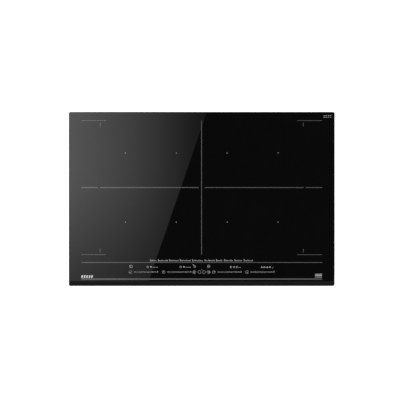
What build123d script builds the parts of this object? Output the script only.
from build123d import *

import os

# Built-in induction hob, 80 cm wide, with eight oval coils in two flexible zones.
#
# Millimetres: +X to the right, +Y to the rear, +Z up. The origin is on the worktop's surface, at
# the centre of the cut-out that the hob drops into. The glass lies above Z = 0 and the casing
# hangs below it. Left and right are as the cook sees them.

# ---------------------------------------------------------------- driving dimensions
# Glass-ceramic plate
GLASS_W, GLASS_D, GLASS_T = 800.0, 524.0, 4.0
GLASS_CORNER = 5.0
BEVEL_RUN = 15.2  # front bevel, measured in plan
BEVEL_LAND = 1.4  # thickness left at the front edge
ARRIS = 0.6  # ground edge on the other three sides

# Worktop cut-out and the joint to it
CUTOUT_W, CUTOUT_D = 750.0, 490.0
SEAL_T = 1.5  # foam tape once the hob's weight is on it
SEAL_INSET, SEAL_WIDTH = 2.5, 8.0
GLASS_Z = SEAL_T
GLASS_TOP = GLASS_Z + GLASS_T

# Sheet-metal casing
SHEET = 1.0
WEB_W, WEB_D = 742.0, 481.0  # outside of the support frame's upright web
WEB_H, WEB_CORNER = 14.0, 12.0
FLANGE_W, FLANGE_D, FLANGE_CORNER = 764.0, 501.0, 16.0  # its flange, on the worktop
TRAY_GAP = 0.2
TRAY_W, TRAY_D = WEB_W - 2 * (SHEET + TRAY_GAP), WEB_D - 2 * (SHEET + TRAY_GAP)
TRAY_BOTTOM, TRAY_TOP = -47.0, -0.6
TRAY_CORNER, TRAY_BEND = WEB_CORNER - SHEET - TRAY_GAP, 3.0
FLOOR = TRAY_BOTTOM + SHEET  # inner face of the tray's bottom

# Fasteners: M4 pan heads through the web into the tray wall
SCREW_R, SCREW_HOLE_R, HEAD_R, HEAD_H, SCREW_LENGTH = 1.75, 1.8, 3.6, 2.0, 5.0
FRAME_SCREW_Z, CLIP_SCREW_Z = -8.5, -7.0
FRONT_SCREW_X = (-220.0, 0.0, 220.0)
SIDE_SCREW_Y = (-70.0, 70.0)

# Fixing springs on the two short sides
CLIP_Y = (-150.0, 150.0)
CLIP_WIDTH, CLIP_T = 28.0, 0.8
CLIP_TOP, CLIP_BEND = -2.5, -12.6  # the foot's top and the height of the bend line
CLIP_KNEE, CLIP_TIP = (6.6, -15.4), (5.0, -21.4)  # outward and down from the bend line

# Coils: four columns and two rows, centred on the printed zone marks
COIL_PITCH_X, COIL_PITCH_Y = 153.2, 207.9
ZONE_CENTRE_Y = 34.45
COIL_W, COIL_D, COIL_T, COIL_BAND = 146.0, 188.0, 5.0, 53.0
COIL_CORNER, COIL_TURNS, TURN_GROOVE = 60.0, 14, 0.6
MICA_T = 0.5
MICA_Z = GLASS_Z - MICA_T
COIL_Z = MICA_Z - COIL_T
CARRIER_T, CARRIER_W, CARRIER_D = 5.0, 301.0, 191.0
CARRIER_Z = COIL_Z - CARRIER_T
PLATE_T = SHEET
PLATE_Z = CARRIER_Z - PLATE_T
PLATE_LIP = 4.0
FERRITE_L, FERRITE_W, FERRITE_T = 44.0, 12.0, 4.0
LEAD_R = 1.3
LEAD_START_Y = COIL_D / 2 - COIL_BAND  # inner edge of the winding
LEAD_HOLE = (34.0, 22.0)
LEAD_HOLE_Y = 30.0
LEAD_SPOTS = ((-10.0, 34.0), (10.0, 26.0))
SPRING_SPOTS = ((14.0, -150.0), (296.0, -150.0), (14.0, 188.0), (296.0, 188.0))
SPRING_R, SPRING_WIRE, SPRING_PITCH = 4.0, 0.5, 4.5

# Electronics, given for the right-hand side and repeated on the left
BOARD_X, BOARD_Y = (124.0, 350.0), (-64.0, 180.0)
BOARD_Z, BOARD_T = FLOOR + 6.0, 1.6
BOARD_TOP = BOARD_Z + BOARD_T
SINK_X, SINK_Y = (135.0, 335.0), (80.0, 140.0)
SINK_BASE, SINK_H, SINK_FINS, FIN_T = 5.0, 25.4, 15, 1.6
EDGE_TAB_X = 132.0

# Blowers
FAN_X, FAN_Y, FAN_SIZE, FAN_H = 70.0, 110.0, 100.0, 30.0
FAN_WALL, FAN_CAVITY_R, INTAKE_R = 2.0, 43.0, 33.0
ROTOR_R, HUB_R, BLADES = 40.0, 17.5, 11
SHAFT_R, BEARING_R = 1.5, 1.55

# Terminal box at the rear right
BOX_X, BOX_Y, BOX_TOP, BOX_WALL = (262.0, 362.0), 196.0, -17.0, 2.0
LID_X = (266.0, 334.0)
HINGE_Y, HINGE_Z = 241.6, -43.4
PIN_R, PIN_HOLE_R, BARREL_R, LUG_T = 1.4, 1.46, 1.9, 4.0
GLAND_X, GLAND_Z, GLAND_R = 348.0, -30.0, 7.5
LID_T = 1.7

# Touch control
TOUCH_X, TOUCH_Y = 235.0, (-235.0, -190.0)
TOUCH_BOTTOM, TOUCH_BOARD_Z = -7.0, -2.0
TOUCH_BOARD_T = 1.6
SLIDER_X = (-176.0, -75.6, 75.6, 176.0)
DISPLAY_Y = -204.0
TOUCH_POST_X = (-200.0, -60.0, 60.0, 200.0)

os.makedirs("parts", exist_ok=True)


# ---------------------------------------------------------------- helpers
def save(name, part):
    """Labels a finished piece and writes it as one STEP file."""
    part.label = name
    export_step(part, f"parts/{name}.step")


def block(x, y, z, corner=0.0):
    """A plain block between the limits in x, y and z, with rounded upright edges if asked."""
    width, depth = x[1] - x[0], y[1] - y[0]
    with BuildPart() as shape:
        with BuildSketch(Plane.XY.offset(z[0])):
            with Locations(((x[0] + x[1]) / 2, (y[0] + y[1]) / 2)):
                if corner:
                    RectangleRounded(width, depth, corner)
                else:
                    Rectangle(width, depth)
        extrude(amount=z[1] - z[0])
    return shape.part


def ring(outer, inner, corners, z0, z1):
    """A rectangular ring between two heights; the corner radii are the outer and the inner."""
    with BuildPart() as shape:
        with BuildSketch(Plane.XY.offset(z0)):
            RectangleRounded(*outer, corners[0])
            RectangleRounded(*inner, corners[1], mode=Mode.SUBTRACT)
        extrude(amount=z1 - z0)
    return shape.part


def group(parts):
    """Several separate solids as one node."""
    with BuildPart() as shape:
        for part in parts:
            add(part)
    return shape.part


def other_side(part):
    """The same piece on the left-hand side."""
    return mirror(part, about=Plane.YZ)


def wire(points, radii, radius=LEAD_R):
    """A round lead along straight runs joined by tangent arcs."""
    with BuildPart() as shape:
        with BuildLine():
            path = FilletPolyline(*points, radius=radii)
        with BuildSketch(Plane(origin=path @ 0, z_dir=path % 0)):
            Circle(radius)
        sweep(path=path)
    return shape.part


def outward(x, y, z, direction):
    """A plane on an upright wall, facing away from the casing."""
    return Plane(origin=(x, y, z), x_dir=(0, 0, 1), z_dir=direction)


# ---------------------------------------------------------------- fasteners
def wall_screw_planes():
    """Where the frame screws sit: on the web's outer faces."""
    planes = []
    for side in (-1, 1):
        for x in FRONT_SCREW_X:
            planes.append(outward(x, side * WEB_D / 2, FRAME_SCREW_Z, (0, side, 0)))
        for y in SIDE_SCREW_Y:
            planes.append(outward(side * WEB_W / 2, y, FRAME_SCREW_Z, (side, 0, 0)))
    return planes


def clip_screw_planes():
    """Where the clip screws sit: on the outer faces of the clip feet."""
    return [
        outward(side * (WEB_W / 2 + CLIP_T), y, CLIP_SCREW_Z, (side, 0, 0))
        for side in (-1, 1)
        for y in CLIP_Y
    ]


def pan_head_screw():
    """A pan-head sheet-metal screw with a cross recess; its head rests on the XY plane."""
    with BuildPart() as screw:
        Cylinder(HEAD_R, HEAD_H, align=(Align.CENTER, Align.CENTER, Align.MIN))
        fillet(screw.edges().group_by(Axis.Z)[-1], 0.9)
        Cylinder(SCREW_R, SCREW_LENGTH, align=(Align.CENTER, Align.CENTER, Align.MAX))
        chamfer(screw.edges().group_by(Axis.Z)[0], 0.6)
        with BuildSketch(Plane.XY.offset(HEAD_H)):
            Rectangle(4.0, 0.8)
            Rectangle(0.8, 4.0)
        extrude(amount=-1.2, mode=Mode.SUBTRACT)
    return screw.part


def screws_at(planes):
    screw = pan_head_screw()
    return group([screw.moved(plane.location) for plane in planes])


def screw_holes(planes):
    """The material to cut for the screws, through every sheet they meet."""
    with BuildPart() as holes:
        with BuildSketch(*planes):
            Circle(SCREW_HOLE_R)
        extrude(amount=SCREW_LENGTH, both=True)
    return holes.part


# ---------------------------------------------------------------- glass, seal and frame
def glass_panel():
    top = GLASS_TOP
    front = -GLASS_D / 2
    with BuildPart() as glass:
        with BuildSketch(Plane.XY.offset(GLASS_Z)):
            RectangleRounded(GLASS_W, GLASS_D, GLASS_CORNER)
        extrude(amount=GLASS_T)
        with BuildSketch(Plane.YZ):
            with BuildLine():
                Polyline(
                    (front + BEVEL_RUN, top),
                    (front, GLASS_Z + BEVEL_LAND),
                    (front - 1, GLASS_Z + BEVEL_LAND),
                    (front - 1, top + 1),
                    (front + BEVEL_RUN, top + 1),
                    close=True,
                )
            make_face()
        extrude(amount=GLASS_W, both=True, mode=Mode.SUBTRACT)
        upper_face = glass.faces().sort_by(Axis.Z)[-1]
        bevel_edge = upper_face.edges().sort_by(Axis.Y)[0]
        chamfer([e for e in upper_face.edges() if e != bevel_edge], ARRIS)
    return glass.part


def support_frame():
    """Angle-section frame: its flange lies on the worktop, its web drops into the cut-out."""
    inside, inside_corner = (WEB_W - 2 * SHEET, WEB_D - 2 * SHEET), WEB_CORNER - SHEET
    with BuildPart() as frame:
        add(ring((FLANGE_W, FLANGE_D), inside, (FLANGE_CORNER, inside_corner), 0, SHEET))
        add(ring((WEB_W, WEB_D), inside, (WEB_CORNER, inside_corner), -WEB_H, 0))
        add(screw_holes(wall_screw_planes() + clip_screw_planes()), mode=Mode.SUBTRACT)
    return frame.part


def worktop_seal():
    outer = (GLASS_W - 2 * SEAL_INSET, GLASS_D - 2 * SEAL_INSET)
    inner = tuple(size - 2 * SEAL_WIDTH for size in outer)
    return ring(outer, inner, (10, 4), 0, SEAL_T)


def glass_bond():
    """Silicone bead between the frame's flange and the glass."""
    outer, inner = (FLANGE_W - 4, FLANGE_D - 4), (WEB_W + 2, WEB_D + 2)
    return ring(outer, inner, (14, 10), SHEET, SEAL_T)


# ---------------------------------------------------------------- tray
def wall_slots(plane, centres, height=17.0, width=3.5):
    """The material to cut for a row of upright vent slots, through the wall at a plane."""
    with BuildPart() as slots:
        with BuildSketch(plane):
            with Locations(*centres):
                SlotOverall(height, width, rotation=90)
        extrude(amount=2 * SHEET, both=True)
    return slots.part


def base_tray():
    slot_z = -29.0
    slot_x = [sign * (90 + 14 * i) for sign in (-1, 1) for i in range(13)]
    rear_x = [x for x in slot_x if x < BOX_X[0] - 10]
    side_y = [-98 + 14 * i for i in range(15)]
    with BuildPart() as tray:
        with BuildSketch(Plane.XY.offset(TRAY_BOTTOM)):
            RectangleRounded(TRAY_W, TRAY_D, TRAY_CORNER)
        extrude(amount=TRAY_TOP - TRAY_BOTTOM)
        fillet(tray.edges().group_by(Axis.Z)[0], TRAY_BEND)
        offset(amount=-SHEET, openings=tray.faces().sort_by(Axis.Z)[-1])
        # vents: front, rear and both sides
        vents = [
            wall_slots(Plane.XZ.offset(TRAY_D / 2), [(x, slot_z) for x in slot_x]),
            wall_slots(Plane.XZ.offset(-TRAY_D / 2), [(x, slot_z) for x in rear_x]),
            wall_slots(Plane.YZ.offset(TRAY_W / 2), [(y, slot_z) for y in side_y]),
            wall_slots(Plane.YZ.offset(-TRAY_W / 2), [(y, slot_z) for y in side_y]),
        ]
        add(vents, mode=Mode.SUBTRACT)
        # intake grilles under the blowers: slots that fill a circle
        for side in (-1, 1):
            with BuildSketch(Plane.XY.offset(TRAY_BOTTOM)):
                for i in range(-4, 5):
                    reach = (INTAKE_R**2 - (7.4 * i) ** 2) ** 0.5
                    with Locations((side * FAN_X, FAN_Y + 7.4 * i)):
                        SlotOverall(2 * reach, 4.0)
            extrude(amount=SHEET, mode=Mode.SUBTRACT)
        # window for the terminal box
        window_x = (BOX_X[0] - 0.3, BOX_X[1] + 0.3)
        window_y = (TRAY_D / 2 - 4 * SHEET, TRAY_D / 2 + SHEET)
        add(block(window_x, window_y, (FLOOR, BOX_TOP + 0.3)), mode=Mode.SUBTRACT)
        # shallow stiffening beads on the underside
        with BuildSketch(Plane.XY.offset(TRAY_BOTTOM)):
            with Locations(*[(0, y) for y in (-190, -130, 205)]):
                SlotOverall(420, 9)
        extrude(amount=0.4, mode=Mode.SUBTRACT)
        # seats that keep the plate springs in place
        with BuildSketch(Plane.XY.offset(FLOOR)):
            with Locations(*[(side * x, y) for side in (-1, 1) for x, y in SPRING_SPOTS]):
                Circle(SPRING_R - SPRING_WIRE - 0.4)
        extrude(amount=4)
        add(screw_holes(wall_screw_planes() + clip_screw_planes()), mode=Mode.SUBTRACT)
    return tray.part


# ---------------------------------------------------------------- fixing springs
def clip_foot(y):
    """The part of a fixing spring that is screwed flat to the web, on the right-hand side."""
    with BuildPart() as foot:
        with BuildSketch(Plane.YZ.offset(WEB_W / 2)):
            with Locations((y, (CLIP_TOP + CLIP_BEND + 0.6) / 2)):
                RectangleRounded(CLIP_WIDTH, CLIP_TOP - CLIP_BEND - 0.6, 1.5)
            with Locations((y, CLIP_SCREW_Z)):
                Circle(SCREW_HOLE_R, mode=Mode.SUBTRACT)
        extrude(amount=CLIP_T)
    return foot.part


def clip_leaf(y):
    """The sprung part, from the bend line down; it bulges past the cut-out's edge."""
    bend = (WEB_W / 2 + CLIP_T / 2, CLIP_BEND)
    knee = (bend[0] + CLIP_KNEE[0], bend[1] + CLIP_KNEE[1])
    tip = (bend[0] + CLIP_TIP[0], bend[1] + CLIP_TIP[1])
    with BuildPart() as leaf:
        with BuildSketch(Plane.XZ.offset(-y)):
            with BuildLine():
                FilletPolyline(bend, knee, tip, radius=2.5)
            trace(line_width=CLIP_T)
            with Locations(bend):
                Circle(CLIP_T / 2)
        extrude(amount=CLIP_WIDTH / 2, both=True)
    return leaf.part


# ---------------------------------------------------------------- coils
def coil_winding():
    """A flat oval coil, its turns marked by grooves; centred on its own middle."""
    step = COIL_BAND / COIL_TURNS

    def turn(inset, mode=Mode.ADD):
        size = (COIL_W - 2 * inset, COIL_D - 2 * inset)
        RectangleRounded(*size, COIL_CORNER - inset, mode=mode)

    with BuildPart() as winding:
        with BuildSketch(Plane.XY.offset(COIL_Z)):
            turn(0)
            turn(COIL_BAND, Mode.SUBTRACT)
        extrude(amount=COIL_T)
        with BuildSketch(Plane.XY.offset(COIL_Z + COIL_T)):
            for i in range(1, COIL_TURNS):
                turn(i * step - TURN_GROOVE / 2)
                turn(i * step + TURN_GROOVE / 2, Mode.SUBTRACT)
        extrude(amount=-1.5, mode=Mode.SUBTRACT)
    return winding.part


def ferrite_places():
    """Centre and angle of the bars under one coil: eight, pointing outwards."""
    return [
        (46.0, 0.0, 0),
        (-46.0, 0.0, 0),
        (0.0, 66.0, 90),
        (0.0, -66.0, 90),
        (40.0, 50.0, 51),
        (-40.0, 50.0, -51),
        (40.0, -50.0, -51),
        (-40.0, -50.0, 51),
    ]


def bars(centre, clearance, z0, height):
    """The ferrite bars, or with a clearance their pockets, under the coil at a centre."""
    with BuildPart() as shape:
        with BuildSketch(Plane.XY.offset(z0)):
            for x, y, angle in ferrite_places():
                with Locations((centre[0] + x, centre[1] + y)):
                    size = (FERRITE_L + clearance, FERRITE_W + clearance)
                    Rectangle(*size, rotation=angle)
        extrude(amount=height)
    return shape.part


def coil_carrier():
    """Moulded carrier for the two coils of one quadrant, centred between them."""
    with BuildPart() as carrier:
        with BuildSketch(Plane.XY.offset(CARRIER_Z)):
            RectangleRounded(CARRIER_W, CARRIER_D, 8)
            for side in (-1, 1):
                with Locations((side * COIL_PITCH_X / 2, LEAD_HOLE_Y)):
                    RectangleRounded(*LEAD_HOLE, 4, mode=Mode.SUBTRACT)
        extrude(amount=CARRIER_T)
        with BuildSketch(Plane.XY.offset(COIL_Z)):
            with Locations(*[(side * COIL_PITCH_X / 2, 0) for side in (-1, 1)]):
                Circle(9)
        extrude(amount=3)
        for side in (-1, 1):
            centre = (side * COIL_PITCH_X / 2, 0)
            add(bars(centre, 0.4, CARRIER_Z, FERRITE_T), mode=Mode.SUBTRACT)
    return carrier.part


def coil_centres(side):
    """The four coils of one side, rear row first, each from left to right."""
    columns = sorted(side * COIL_PITCH_X * k for k in (0.5, 1.5))
    rows = [ZONE_CENTRE_Y + s * COIL_PITCH_Y / 2 for s in (1, -1)]
    return [(x, y) for y in rows for x in columns]


def temperature_sensors(side):
    """Sensor cups on the carriers' centre posts, pressed against the glass."""
    with BuildPart() as sensors:
        with BuildSketch(Plane.XY.offset(COIL_Z + 3)):
            with Locations(*coil_centres(side)):
                Circle(6.5)
        extrude(amount=GLASS_Z - COIL_Z - 3)
    return sensors.part


def mica_sheet(side):
    centre_x = side * COIL_PITCH_X
    depth = COIL_PITCH_Y + CARRIER_D
    with BuildPart() as sheet:
        with BuildSketch(Plane.XY.offset(MICA_Z)):
            with Locations((centre_x, ZONE_CENTRE_Y)):
                RectangleRounded(CARRIER_W, depth, 4)
            with Locations(*coil_centres(side)):
                Circle(7.5, mode=Mode.SUBTRACT)
        extrude(amount=MICA_T)
    return sheet.part


def coil_plate(side):
    """Aluminium plate that lifts four coils against the glass, with a lip front and rear."""
    centre_x, depth = side * COIL_PITCH_X, COIL_PITCH_Y + CARRIER_D
    lip_y = [ZONE_CENTRE_Y + s * (depth - PLATE_T) / 2 for s in (1, -1)]
    with BuildPart() as plate:
        with BuildSketch(Plane.XY.offset(PLATE_Z)):
            with Locations((centre_x, ZONE_CENTRE_Y)):
                Rectangle(CARRIER_W, depth)
            with Locations(*[(x, y + LEAD_HOLE_Y) for x, y in coil_centres(side)]):
                RectangleRounded(*LEAD_HOLE, 4, mode=Mode.SUBTRACT)
        extrude(amount=PLATE_T)
        with BuildSketch(Plane.XY.offset(PLATE_Z)):
            with Locations(*[(centre_x, y) for y in lip_y]):
                Rectangle(CARRIER_W, PLATE_T)
        extrude(amount=-PLATE_LIP)
    return plate.part


def plate_springs(side):
    """Four compression springs between the tray's seats and the coil plate."""
    low, high = FLOOR + SPRING_WIRE, PLATE_Z - SPRING_WIRE
    with BuildPart() as spring:
        with BuildLine():
            path = Helix(SPRING_PITCH, high - low, SPRING_R, center=(0, 0, low))
        with BuildSketch(Plane(origin=path @ 0, z_dir=path % 0)):
            Circle(SPRING_WIRE)
        sweep(path=path, is_frenet=True)
    return group([spring.part.moved(Location((side * x, y, 0))) for x, y in SPRING_SPOTS])


# ---------------------------------------------------------------- electronics
def board_carrier():
    """Moulded frame that keeps a power board off the tray's bottom."""
    x, y = (BOARD_X[0] - 2, BOARD_X[1] + 2), (BOARD_Y[0] - 2, BOARD_Y[1] + 2)
    centre = ((x[0] + x[1]) / 2, (y[0] + y[1]) / 2)
    with BuildPart() as carrier:
        with BuildSketch(Plane.XY.offset(FLOOR)):
            with Locations(centre):
                RectangleRounded(x[1] - x[0], y[1] - y[0], 5)
                with GridLocations(74.5, 80.5, 3, 3):
                    RectangleRounded(68, 74, 4, mode=Mode.SUBTRACT)
        extrude(amount=BOARD_Z - FLOOR)
    return carrier.part


def power_board():
    return block(BOARD_X, BOARD_Y, (BOARD_Z, BOARD_TOP), corner=3)


def heat_sink():
    pitch = (SINK_Y[1] - SINK_Y[0] - FIN_T) / (SINK_FINS - 1)
    with BuildPart() as sink:
        add(block(SINK_X, SINK_Y, (BOARD_TOP, BOARD_TOP + SINK_BASE)))
        with BuildSketch(Plane.XY.offset(BOARD_TOP + SINK_BASE)):
            with Locations(((SINK_X[0] + SINK_X[1]) / 2, (SINK_Y[0] + SINK_Y[1]) / 2)):
                with GridLocations(1, pitch, 1, SINK_FINS):
                    Rectangle(SINK_X[1] - SINK_X[0], FIN_T)
        extrude(amount=SINK_H - SINK_BASE)
    return sink.part


def power_transistors():
    """Five flat packages standing against the heat sink's side."""
    with BuildPart() as packages:
        with BuildSketch(Plane.XY.offset(BOARD_TOP)):
            with Locations(*[(159 + 38 * i, SINK_Y[0] - 2.5) for i in range(5)]):
                Rectangle(16, 5)
        extrude(amount=20)
        chamfer(packages.edges().group_by(Axis.Z)[-1], 0.6)
    return packages.part


def capacitors():
    """Film capacitors in two rows and two electrolytics."""
    with BuildPart() as caps:
        with BuildSketch(Plane.XY.offset(BOARD_TOP)):
            with Locations(*[(152 + 36 * i, y) for i in range(6) for y in (-2, 22)]):
                RectangleRounded(30, 16, 1)
        extrude(amount=21)
        with BuildSketch(Plane.XY.offset(BOARD_TOP)):
            with Locations((155, 54), (183, 54)):
                Circle(11)
        extrude(amount=23)
    return caps.part


def chokes():
    """Toroidal chokes lying flat, and a larger one in the mains filter."""
    with BuildPart() as coils:
        for x, y, major, minor in ((180, -38, 12, 5), (290, -38, 12, 5), (318, 52, 15, 7)):
            with Locations((x, y, BOARD_TOP + minor)):
                Torus(major, minor)
    return coils.part


# ---------------------------------------------------------------- blowers
def fan_housing():
    """Volute casing with its intake below and its outlet on +X; centred on the shaft."""
    half, low, high = FAN_SIZE / 2, FLOOR, FLOOR + FAN_H
    cavity = high - low - 2 * FAN_WALL
    with BuildPart() as housing:
        with BuildSketch(Plane.XY.offset(low)):
            RectangleRounded(FAN_SIZE, FAN_SIZE, 8)
        extrude(amount=FAN_H)
        with BuildSketch(Plane.XY.offset(low + FAN_WALL)):
            Circle(FAN_CAVITY_R)
            with Locations((half / 2, 3)):
                Rectangle(half, 2 * FAN_CAVITY_R - 6)
        extrude(amount=cavity, mode=Mode.SUBTRACT)
        with BuildSketch(Plane.XY.offset(low)):
            Circle(INTAKE_R)
            for angle in (90, 210, 330):
                with Locations(Location((0, 0), angle)):
                    with Locations((INTAKE_R / 2, 0)):
                        Rectangle(INTAKE_R + 2, 5, mode=Mode.SUBTRACT)
            Circle(15, mode=Mode.SUBTRACT)
        extrude(amount=FAN_WALL, mode=Mode.SUBTRACT)
    return housing.part


def fan_motor():
    """Stator on the housing's spider, with the bearing tube for the rotor's shaft."""
    base = FLOOR + FAN_WALL
    with BuildPart() as motor:
        with BuildSketch(Plane.XY.offset(base)):
            Circle(14)
        extrude(amount=12)
        with BuildSketch(Plane.XY.offset(base + 12)):
            Circle(4)
        extrude(amount=4)
        with BuildSketch(Plane.XY.offset(base + 2)):
            Circle(BEARING_R)
        extrude(amount=16, mode=Mode.SUBTRACT)
    return motor.part


def fan_rotor():
    """Cup-shaped hub with a back plate, curved blades below it and the shaft."""
    base = FLOOR + FAN_WALL
    with BuildPart() as rotor:
        with BuildSketch(Plane.XY.offset(base + 20)):
            Circle(ROTOR_R)
        extrude(amount=2)
        with BuildSketch(Plane.XY.offset(base + 3)):
            Circle(HUB_R)
            Circle(HUB_R - 2, mode=Mode.SUBTRACT)
        extrude(amount=17)
        with BuildSketch(Plane.XY.offset(base + 3)):
            Circle(SHAFT_R)
        extrude(amount=17)
        with BuildSketch(Plane.XY.offset(base + 3)):
            for i in range(BLADES):
                with Locations(Location((0, 0), i * 360 / BLADES)):
                    with BuildLine(mode=Mode.PRIVATE) as blade:
                        ThreePointArc((22, 0), (31, 2.5), (38.5, 8.5))
                    with BuildSketch(mode=Mode.PRIVATE) as blade_plan:
                        trace(blade.line, line_width=1.4)
                    add(blade_plan.sketch)
        extrude(amount=17)
    return rotor.part


# ---------------------------------------------------------------- terminal box
def terminal_box():
    """Moulded box set into the tray's rear wall, with the cable inlet beside its open mouth."""
    rear = TRAY_D / 2
    mouth_z = (FLOOR + BOX_WALL, BOX_TOP - BOX_WALL)
    inside_x = (BOX_X[0] + BOX_WALL, BOX_X[1] - BOX_WALL)
    with BuildPart() as box:
        add(block(BOX_X, (BOX_Y, rear), (FLOOR, BOX_TOP)))
        add(block(inside_x, (BOX_Y + BOX_WALL, rear - 2.5), mouth_z), mode=Mode.SUBTRACT)
        add(block(LID_X, (rear - 5, rear + 1), mouth_z), mode=Mode.SUBTRACT)
        # way through for the leads to the power board
        lead_slot_y = (BOX_Y - 1, BOX_Y + BOX_WALL + 1)
        add(block((270, 324), lead_slot_y, (-38, -30)), mode=Mode.SUBTRACT)
        # cable inlet: a collar on the rear wall
        with BuildSketch(Plane.XZ.offset(-rear)):
            with Locations((GLAND_X, GLAND_Z)):
                Circle(GLAND_R + 3)
        extrude(amount=-4.5)
        with BuildSketch(Plane.XZ.offset(-rear - 4.5)):
            with Locations((GLAND_X, GLAND_Z)):
                Circle(GLAND_R)
        extrude(amount=7, mode=Mode.SUBTRACT)
        # lugs that hold the lid's pins
        for x in (LID_X[0] + 3, LID_X[1] - 3 - LUG_T):
            with BuildSketch(Plane.YZ.offset(x)):
                with Locations((HINGE_Y, HINGE_Z)):
                    Circle(2.4)
                with Locations(((rear + HINGE_Y) / 2, HINGE_Z)):
                    Rectangle(HINGE_Y - rear, 4.8)
                with Locations((HINGE_Y, HINGE_Z)):
                    Circle(PIN_HOLE_R, mode=Mode.SUBTRACT)
            extrude(amount=LUG_T)
        # posts for the cord clamp
        with BuildSketch(Plane.XY.offset(mouth_z[0])):
            with Locations((GLAND_X - 9, 216), (GLAND_X + 9, 216)):
                Circle(2)
        extrude(amount=10)
    return box.part


def terminal_lid():
    """Snap-on lid, hinged along its lower edge, with a latch tongue at the top."""
    lugs = (LID_X[0] + 3, LID_X[1] - 3)
    barrel = (lugs[0] + LUG_T + 0.4, lugs[1] - LUG_T - 0.4)
    plate_y = (HINGE_Y - LID_T, HINGE_Y)
    with BuildPart() as lid:
        with BuildSketch(Plane.YZ.offset(barrel[0])):
            with Locations((HINGE_Y, HINGE_Z)):
                Circle(BARREL_R)
        extrude(amount=barrel[1] - barrel[0])
        with BuildSketch(Plane.YZ.offset(lugs[0] + 0.4)):
            with Locations((HINGE_Y, HINGE_Z)):
                Circle(PIN_R)
        extrude(amount=lugs[1] - lugs[0] - 0.8)
        add(block(barrel, plate_y, (HINGE_Z, HINGE_Z + 4)))
        add(block(LID_X, plate_y, (HINGE_Z + 3.2, BOX_TOP - 1)))
        tongue_x = ((LID_X[0] + LID_X[1]) / 2 - 6, (LID_X[0] + LID_X[1]) / 2 + 6)
        add(block(tongue_x, (plate_y[0] - 3.5, plate_y[0]), (BOX_TOP - 4.6, BOX_TOP - 3)))
    return lid.part


def terminal_block():
    """Six-pole block: a wire hole and a screw well for each pole, facing the open mouth."""
    x, y, z = (268.0, 332.0), (206.0, 224.0), (FLOOR + BOX_WALL, -25.0)
    poles = [x[0] + 7 + 10 * i for i in range(6)]
    with BuildPart() as body:
        add(block(x, y, z))
        with BuildSketch(Plane.XZ.offset(-y[1])):
            with Locations(*[(pole, -39.5) for pole in poles]):
                Circle(2.4)
            with Locations(*[(pole, -31.0) for pole in poles]):
                Circle(2.8)
        extrude(amount=12, mode=Mode.SUBTRACT)
    return body.part


def terminal_screws():
    """The brass clamping screws at the bottom of the block's wells."""
    poles = [275.0 + 10 * i for i in range(6)]
    with BuildPart() as screws:
        with BuildSketch(Plane.XZ.offset(-212)):
            with Locations(*[(pole, -31.0) for pole in poles]):
                Circle(2.6)
        extrude(amount=-8)
        with BuildSketch(Plane.XZ.offset(-220)):
            with Locations(*[(pole, -31.0) for pole in poles]):
                Rectangle(5.4, 0.8)
        extrude(amount=1, mode=Mode.SUBTRACT)
    return screws.part


def cord_clamp():
    """Saddle that presses the supply cord, on the two posts behind the inlet."""
    low = FLOOR + BOX_WALL + 10
    with BuildPart() as clamp:
        add(block((GLAND_X - 12, GLAND_X + 12), (212, 220), (low, low + 11), corner=1))
        with BuildSketch(Plane.XZ.offset(-211)):
            with Locations((GLAND_X, low - 1)):
                Circle(6)
        extrude(amount=-10, mode=Mode.SUBTRACT)
    return clamp.part


# ---------------------------------------------------------------- touch control
def touch_carrier():
    """Long moulded trough under the printed keys, on posts from the tray's bottom."""
    centre_y = (TOUCH_Y[0] + TOUCH_Y[1]) / 2
    depth = TOUCH_Y[1] - TOUCH_Y[0]
    with BuildPart() as carrier:
        add(block((-TOUCH_X, TOUCH_X), TOUCH_Y, (TOUCH_BOTTOM, GLASS_Z), corner=4))
        with BuildSketch(Plane.XY.offset(GLASS_Z)):
            with Locations((0, centre_y)):
                RectangleRounded(2 * TOUCH_X - 4, depth - 4, 2)
        extrude(amount=TOUCH_BOARD_Z - GLASS_Z, mode=Mode.SUBTRACT)
        with BuildSketch(Plane.XY.offset(TOUCH_BOARD_Z)):
            with Locations((0, centre_y)):
                RectangleRounded(2 * TOUCH_X - 10, depth - 10, 2)
        extrude(amount=TOUCH_BOTTOM + 2 - TOUCH_BOARD_Z, mode=Mode.SUBTRACT)
        with BuildSketch(Plane.XY.offset(FLOOR)):
            with Locations(*[(x, centre_y) for x in TOUCH_POST_X]):
                Circle(5)
        extrude(amount=TOUCH_BOTTOM - FLOOR)
    return carrier.part


def touch_board():
    x = (-TOUCH_X + 2.5, TOUCH_X - 2.5)
    y = (TOUCH_Y[0] + 2.5, TOUCH_Y[1] - 2.5)
    return block(x, y, (TOUCH_BOARD_Z, TOUCH_BOARD_Z + TOUCH_BOARD_T), corner=1.5)


def display_modules():
    """Digit displays and the sensor-key light guides between the board and the glass."""
    low = TOUCH_BOARD_Z + TOUCH_BOARD_T
    with BuildPart() as modules:
        with BuildSketch(Plane.XY.offset(low)):
            with Locations(*[(x, DISPLAY_Y) for x in (*SLIDER_X, 0)]):
                RectangleRounded(24, 11, 1)
            with Locations(*[(x, -220) for x in SLIDER_X]):
                SlotOverall(82, 6)
        extrude(amount=GLASS_Z - low)
    return modules.part


def ribbon_cable():
    """Flat cable from the touch board down to the right-hand power board."""
    with BuildPart() as ribbon:
        with BuildSketch(Plane.YZ.offset(140)):
            with BuildLine():
                points = ((-200, TOUCH_BOTTOM), (-200, -24), (-58, -24), (-58, BOARD_TOP))
                FilletPolyline(*points, radius=6)
            trace(line_width=1.2)
        extrude(amount=16)
    return ribbon.part


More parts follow.
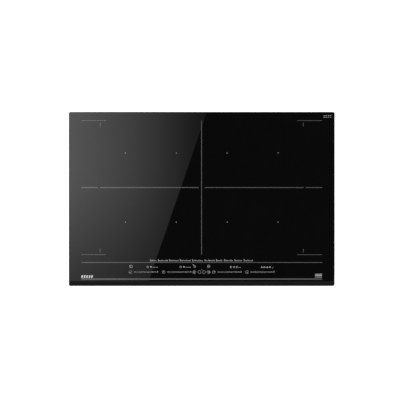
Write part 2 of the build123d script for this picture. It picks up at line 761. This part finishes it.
# ---------------------------------------------------------------- wiring
def coil_leads():
    """Two leads from each right-hand coil down to the tabs on its power board."""
    leads = []
    for x, y in coil_centres(1):
        for dx, dy in LEAD_SPOTS:
            start = (x + dx, y + LEAD_START_Y, COIL_Z + 2.5)
            drop = (x + dx, y + dy, COIL_Z + 2.5)
            bend = 0.6 * (LEAD_START_Y - dy)
            if x > BOARD_X[0]:
                points, radii = (start, drop, (x + dx, y + dy, BOARD_TOP)), [bend]
            else:
                turn = (x + dx, y + dy, -24)
                tab_y = y + dy + (3.5 if dx < 0 else -3.0)
                tab = (EDGE_TAB_X, tab_y, -24)
                points = (start, drop, turn, tab, (EDGE_TAB_X, tab_y, BOARD_TOP))
                radii = [bend, 6, 6]
            leads.append(wire(points, radii))
    return group(leads)


def supply_leads():
    """Leads from the terminal block to the right-hand board, and the link between boards."""
    leads = []
    for x in (274.0, 282.0, 312.0, 320.0):
        points = ((x, 206, -34), (x, 172, -34), (x, 172, BOARD_TOP))
        leads.append(wire(points, [4]))
    y, level = -52.0, -28.0
    points = (
        (EDGE_TAB_X, y, BOARD_TOP),
        (EDGE_TAB_X, y, level),
        (-EDGE_TAB_X, y, level),
        (-EDGE_TAB_X, y, BOARD_TOP),
    )
    leads.append(wire(points, [6, 6], radius=2.0))
    return group(leads)


# ---------------------------------------------------------------- assembly
def build_casing():
    save("glass_panel", glass_panel())
    save("worktop_seal", worktop_seal())
    save("glass_bond", glass_bond())
    save("support_frame", support_frame())
    save("base_tray", base_tray())
    save("frame_screws", screws_at(wall_screw_planes()))
    save("clip_screws", screws_at(clip_screw_planes()))
    feet = [clip_foot(y) for y in CLIP_Y]
    save("clip_feet", group(feet + [other_side(foot) for foot in feet]))
    for y, place in zip(CLIP_Y, ("front", "rear")):
        leaf = clip_leaf(y)
        save(f"clip_leaf_right_{place}", leaf)
        save(f"clip_leaf_left_{place}", other_side(leaf))


def build_coils():
    winding, carrier = coil_winding(), coil_carrier()
    springs = plate_springs(1)
    for side, side_name in ((-1, "left"), (1, "right")):
        centres = coil_centres(side)
        columns = ("outer", "inner") if side < 0 else ("inner", "outer")
        names = [f"{row}_{column}" for row in ("rear", "front") for column in columns]
        for (x, y), place in zip(centres, names):
            save(f"coil_{side_name}_{place}", winding.moved(Location((x, y, 0))))
        for row, sign in (("rear", 1), ("front", -1)):
            middle = (side * COIL_PITCH_X, ZONE_CENTRE_Y + sign * COIL_PITCH_Y / 2, 0)
            save(f"coil_carrier_{side_name}_{row}", carrier.moved(Location(middle)))
        ferrites = group([bars(c, 0, CARRIER_Z, FERRITE_T) for c in centres])
        save(f"ferrite_bars_{side_name}", ferrites)
        save(f"mica_sheet_{side_name}", mica_sheet(side))
        save(f"temperature_sensors_{side_name}", temperature_sensors(side))
        save(f"coil_plate_{side_name}", coil_plate(side))
        save(f"plate_springs_{side_name}", springs if side > 0 else other_side(springs))


def build_electronics():
    pieces = {
        "power_board": power_board(),
        "board_carrier": board_carrier(),
        "heat_sink": heat_sink(),
        "coil_leads": coil_leads(),
    }
    for name, part in pieces.items():
        save(f"{name}_right", part)
        save(f"{name}_left", other_side(part))
    shared = {
        "power_transistors": power_transistors(),
        "capacitors": capacitors(),
        "chokes": chokes(),
    }
    for name, part in shared.items():
        save(name, group([part, other_side(part)]))
    save("supply_leads", supply_leads())


def build_blowers():
    housing, motor, rotor = fan_housing(), fan_motor(), fan_rotor()
    places = {
        "right": Location((FAN_X, FAN_Y, 0)),
        "left": Location((-FAN_X, FAN_Y, 0), (0, 0, 180)),
    }
    for name, place in places.items():
        save(f"fan_housing_{name}", housing.moved(place))
        save(f"fan_rotor_{name}", rotor.moved(place))
    save("fan_motors", group([motor.moved(place) for place in places.values()]))


def build_connections():
    save("terminal_box", terminal_box())
    save("terminal_lid", terminal_lid())
    save("terminal_block", terminal_block())
    save("terminal_screws", terminal_screws())
    save("cord_clamp", cord_clamp())
    save("touch_carrier", touch_carrier())
    save("touch_board", touch_board())
    save("display_modules", display_modules())
    save("ribbon_cable", ribbon_cable())


build_casing()
build_coils()
build_electronics()
build_blowers()
build_connections()
